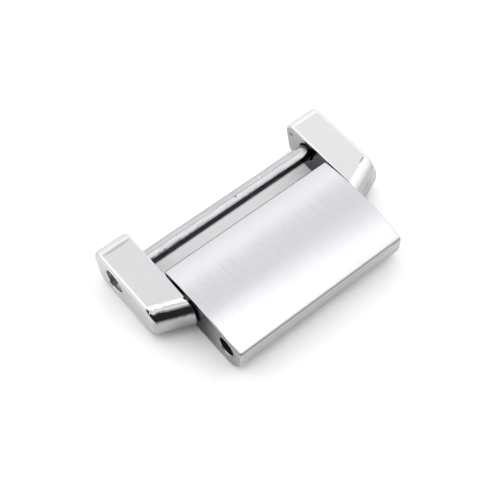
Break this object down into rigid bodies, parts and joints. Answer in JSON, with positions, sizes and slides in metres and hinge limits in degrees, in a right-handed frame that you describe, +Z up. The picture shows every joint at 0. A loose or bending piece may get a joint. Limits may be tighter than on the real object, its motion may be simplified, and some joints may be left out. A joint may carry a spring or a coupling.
{
  "type": "watch bracelet link",
  "caption": "Steel watch bracelet link: a wide brushed centre link swings between polished outer links; a loose bar with slotted screws takes the next link.",
  "frame": {"origin": "middle of the link's box on its underside, at the middle of the bracelet's width", "axes": "+X across the bracelet to the right outer link, +Y along it towards the loose bar, +Z up from the wrist side to the arched top"},
  "size_m": [0.019, 0.0118, 0.0031],
  "materials": {
    "brushed_centre": "lengthways brushed stainless steel",
    "polished_outer": "mirror polished stainless steel",
    "ground_pin": "ground stainless steel",
    "drawn_bar": "drawn stainless steel with fine streaks along its length",
    "screw_steel": "turned stainless steel"
  },
  "bodies": {
    "outer_frame": {"left_outer_link": "polished_outer", "right_outer_link": "polished_outer", "hinge_pin": "ground_pin"},
    "centre": {"centre_link": "brushed_centre"},
    "left_screw": {"left_bar_screw": "screw_steel"},
    "bar": {"threaded_bar": "drawn_bar"},
    "right_screw": {"right_bar_screw": "screw_steel"}
  },
  "joints": [
    {"name": "centre_link_swing", "type": "hinge", "parent": "outer_frame", "child": "centre", "pos_m": [0, -0.00041, 0.00168], "axis": [1, 0, 0], "range_deg": [-152, 144]},
    {"name": "left_screw_turn", "type": "hinge", "parent": "outer_frame", "child": "left_screw", "pos_m": [-0.00869, 0.00369, 0.00168], "axis": [-1, 0, 0], "range_deg": [0, 2880]},
    {"name": "bar_travel", "type": "slide", "parent": "outer_frame", "child": "bar", "axis": [1, 0, 0], "range_m": [0, 0.0016]},
    {"name": "right_screw_turn", "type": "hinge", "parent": "bar", "child": "right_screw", "pos_m": [0.00869, 0.00369, 0.00168], "axis": [1, 0, 0], "range_deg": [0, 2880]}
  ],
  "couplings": [
    {"joint": "left_screw_turn", "follows": "bar_travel", "rad_per_m": 31416}
  ]
}
